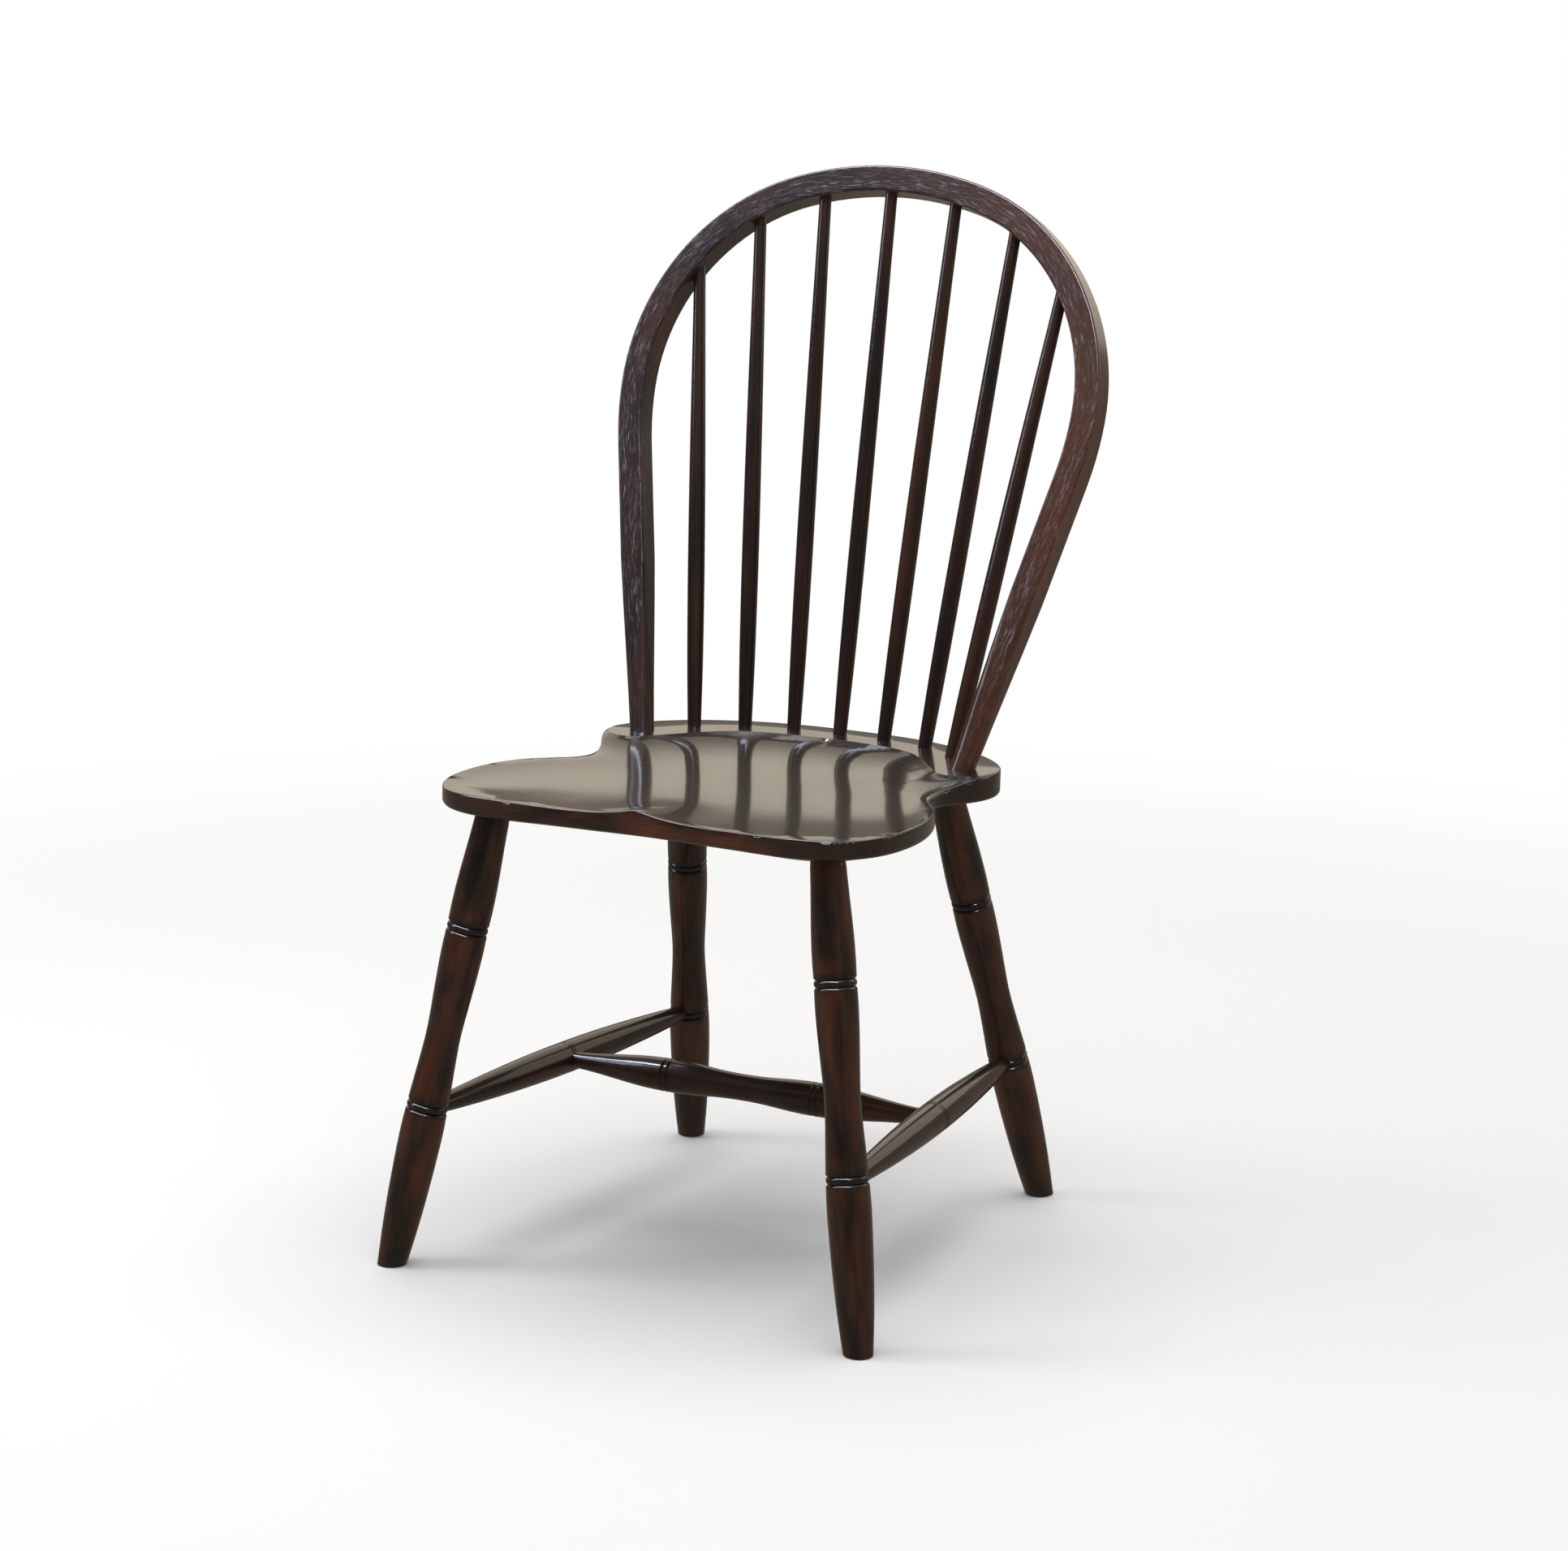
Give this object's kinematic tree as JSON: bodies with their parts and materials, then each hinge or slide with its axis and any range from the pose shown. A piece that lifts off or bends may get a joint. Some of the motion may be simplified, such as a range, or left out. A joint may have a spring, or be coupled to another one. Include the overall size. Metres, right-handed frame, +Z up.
{
  "type": "hoop-back dining chair",
  "caption": "Windsor side chair with a hooped back, plain turned spindles, a saddled seat board, turned splayed legs and an H stretcher.",
  "frame": {"origin": "on the floor, at the centre of the chair's overall length and width", "axes": "+Z up, X across the chair, the sitter faces -Y"},
  "size_m": [0.5072, 0.5494, 0.9871],
  "materials": {
    "seat_wood": "dark brown satin lacquer over stained wood",
    "bow_wood": "dark brown satin lacquer over open-grained wood",
    "spindle_wood": "dark brown satin lacquer over stained wood",
    "leg_wood": "dark brown satin lacquer over stained wood",
    "stretcher_wood": "dark brown satin lacquer over stained wood"
  },
  "bodies": {
    "root": {"bow": "bow_wood", "cross_stretcher": "stretcher_wood", "leg_back_left": "leg_wood", "leg_back_right": "leg_wood", "leg_front_left": "leg_wood", "leg_front_right": "leg_wood", "seat": "seat_wood", "side_stretcher_left": "stretcher_wood", "side_stretcher_right": "stretcher_wood", "spindle_1": "spindle_wood", "spindle_2": "spindle_wood", "spindle_3": "spindle_wood", "spindle_4": "spindle_wood", "spindle_5": "spindle_wood", "spindle_6": "spindle_wood", "spindle_7": "spindle_wood"}
  },
  "joints": []
}
